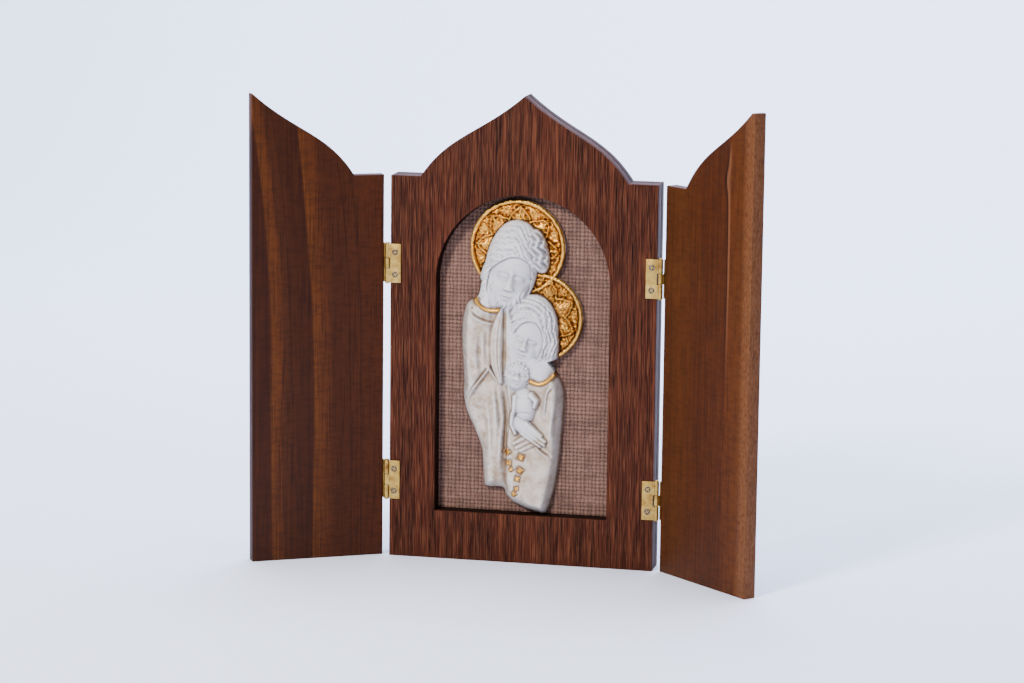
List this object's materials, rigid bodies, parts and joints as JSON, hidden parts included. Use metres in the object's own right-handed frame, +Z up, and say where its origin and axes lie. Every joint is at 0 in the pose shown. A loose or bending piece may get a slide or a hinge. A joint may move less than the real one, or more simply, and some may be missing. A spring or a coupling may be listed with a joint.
{
  "type": "triptych altarpiece",
  "caption": "Standing wooden triptych with a pointed case, a burlap-lined arched niche holding a cast family relief with haloes, and hinged half-ogee doors.",
  "frame": {"origin": "on the underside of the case, under the middle of its front face", "axes": "+X to the right of someone facing the niche, +Y towards the back, +Z up"},
  "size_m": [0.3313, 0.0777, 0.301],
  "materials": {
    "case_wood": "reddish brown open-pored hardwood, satin varnish",
    "left_door_wood": "dark brown banded hardwood, satin varnish",
    "right_door_wood": "warm orange-brown hardwood with one knot, satin varnish",
    "burlap": "pinkish beige burlap, plain basket weave",
    "plaster": "white cast plaster, matt, cream wash in the hollows, haloes and trims gilded",
    "brass": "aged brass, stained",
    "screw_steel": "dulled steel screws"
  },
  "bodies": {
    "case": {"front_board": "case_wood", "back_board": "case_wood", "burlap_lining": "burlap", "holy_family_relief": "plaster", "left_upper_hinge_case_leaf": "brass", "left_upper_hinge_pin": "brass", "left_upper_hinge_case_screw_low": "screw_steel", "left_upper_hinge_case_screw_high": "screw_steel", "left_lower_hinge_case_leaf": "brass", "left_lower_hinge_pin": "brass", "left_lower_hinge_case_screw_low": "screw_steel", "left_lower_hinge_case_screw_high": "screw_steel", "right_upper_hinge_case_leaf": "brass", "right_upper_hinge_pin": "brass", "right_upper_hinge_case_screw_low": "screw_steel", "right_upper_hinge_case_screw_high": "screw_steel", "right_lower_hinge_case_leaf": "brass", "right_lower_hinge_pin": "brass", "right_lower_hinge_case_screw_low": "screw_steel", "right_lower_hinge_case_screw_high": "screw_steel"},
    "left_door_body": {"left_door": "left_door_wood", "left_upper_hinge_door_leaf": "brass", "left_upper_hinge_door_screw_low": "screw_steel", "left_upper_hinge_door_screw_high": "screw_steel", "left_lower_hinge_door_leaf": "brass", "left_lower_hinge_door_screw_low": "screw_steel", "left_lower_hinge_door_screw_high": "screw_steel"},
    "right_door_body": {"right_door": "right_door_wood", "right_upper_hinge_door_leaf": "brass", "right_upper_hinge_door_screw_low": "screw_steel", "right_upper_hinge_door_screw_high": "screw_steel", "right_lower_hinge_door_leaf": "brass", "right_lower_hinge_door_screw_low": "screw_steel", "right_lower_hinge_door_screw_high": "screw_steel"}
  },
  "joints": [
    {"name": "left_door_hinge", "type": "hinge", "parent": "case", "child": "left_door_body", "pos_m": [-0.0885, 0.00075, 0.12], "axis": [0, 0, 1], "range_deg": [-30, 150]},
    {"name": "right_door_hinge", "type": "hinge", "parent": "case", "child": "right_door_body", "pos_m": [0.0885, 0.00075, 0.12], "axis": [0, 0, 1], "range_deg": [-137.2, 42.8]}
  ]
}
